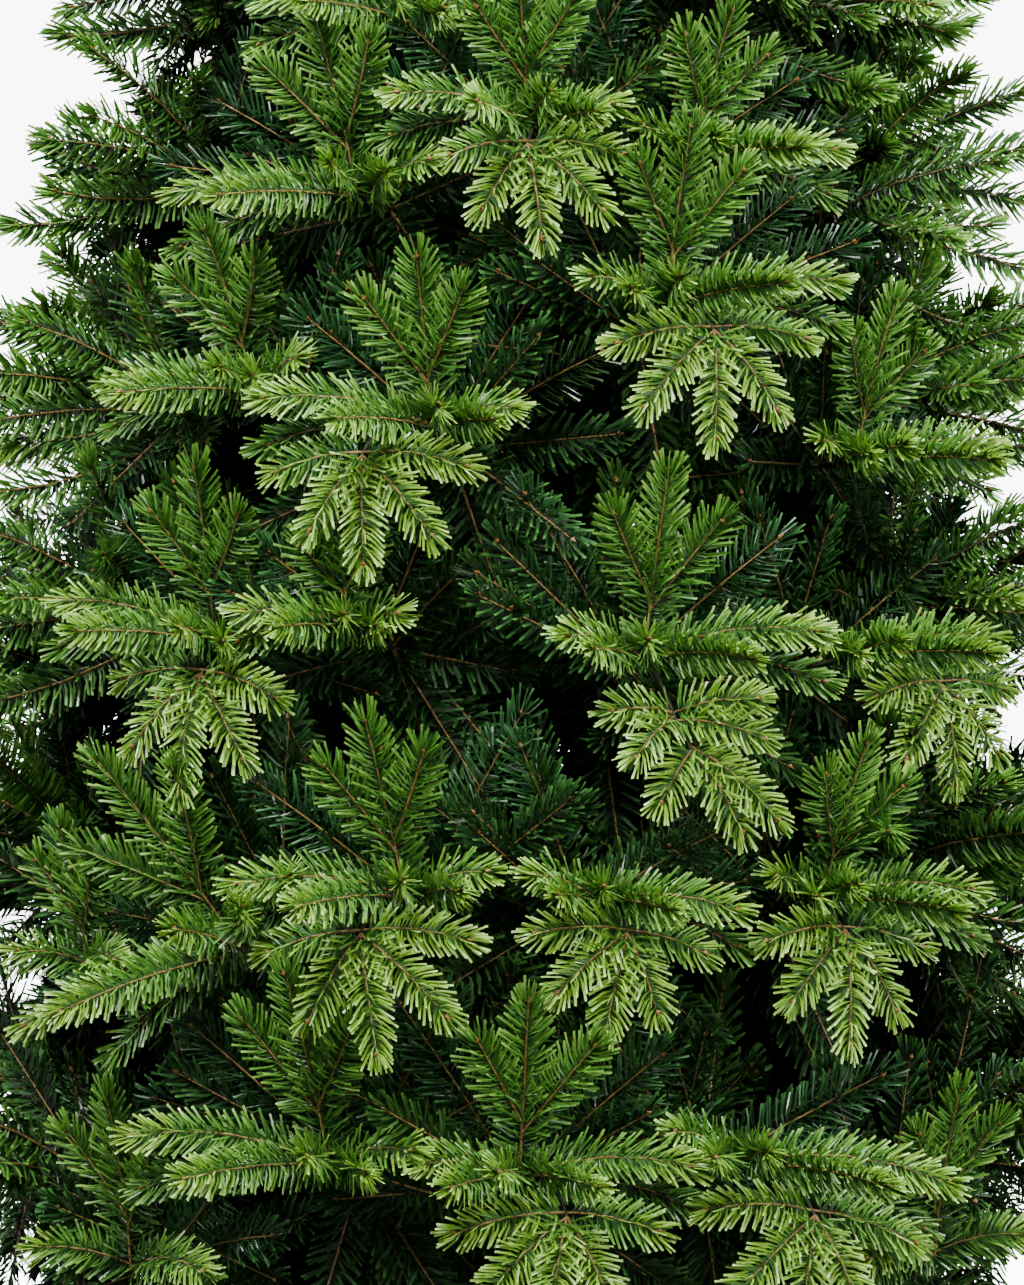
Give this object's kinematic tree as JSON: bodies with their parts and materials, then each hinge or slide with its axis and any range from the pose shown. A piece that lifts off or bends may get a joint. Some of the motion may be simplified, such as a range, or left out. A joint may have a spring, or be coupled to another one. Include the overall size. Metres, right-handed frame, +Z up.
{
  "type": "artificial christmas tree",
  "caption": "Full artificial fir Christmas tree with moulded needle tips in tiers round a steel pole, on a plain metal stand with rubber shoes.",
  "frame": {"origin": "on the floor, on the pole's axis, at the bottom centre of the tree", "axes": "+Z up along the pole, and -Y towards the viewer of the picture"},
  "size_m": [1.0746, 1.077, 2.1],
  "materials": {
    "needles": "moulded green needles with a low gloss",
    "steel": "dark green powder coat",
    "rubber": "matt black",
    "zinc": "bright zinc plating"
  },
  "bodies": {
    "root": {"foliage_leader": "needles", "foliage_tier01_1": "needles", "foliage_tier01_2": "needles", "foliage_tier01_3": "needles", "foliage_tier01_4": "needles", "foliage_tier01_5": "needles", "foliage_tier01_6": "needles", "foliage_tier02_1": "needles", "foliage_tier02_2": "needles", "foliage_tier02_3": "needles", "foliage_tier02_4": "needles", "foliage_tier02_5": "needles", "foliage_tier02_6": "needles", "foliage_tier03_1": "needles", "foliage_tier03_2": "needles", "foliage_tier03_3": "needles", "foliage_tier03_4": "needles", "foliage_tier03_5": "needles", "foliage_tier04_1": "needles", "foliage_tier04_2": "needles", "foliage_tier04_3": "needles", "foliage_tier04_4": "needles", "foliage_tier04_5": "needles", "foliage_tier05_1": "needles", "foliage_tier05_2": "needles", "foliage_tier05_3": "needles", "foliage_tier05_4": "needles", "foliage_tier06_1": "needles", "foliage_tier06_2": "needles", "foliage_tier06_3": "needles", "foliage_tier06_4": "needles", "foliage_tier07_1": "needles", "foliage_tier07_2": "needles", "foliage_tier07_3": "needles", "foliage_tier08_1": "needles", "foliage_tier08_2": "needles", "foliage_tier08_3": "needles", "foliage_tier09_1": "needles", "foliage_tier09_2": "needles", "foliage_tier09_3": "needles", "foliage_tier10_1": "needles", "foliage_tier10_2": "needles", "foliage_tier10_3": "needles", "foliage_tier11_1": "needles", "foliage_tier11_2": "needles", "stand_hub": "steel", "stand_leg_1": "steel", "stand_leg_2": "steel", "stand_leg_3": "steel", "stand_leg_4": "steel", "stand_screw_1": "zinc", "stand_screw_2": "zinc", "stand_screw_3": "zinc", "stand_shoe_1": "rubber", "stand_shoe_2": "rubber", "stand_shoe_3": "rubber", "stand_shoe_4": "rubber", "trunk_pole": "steel"}
  },
  "joints": []
}
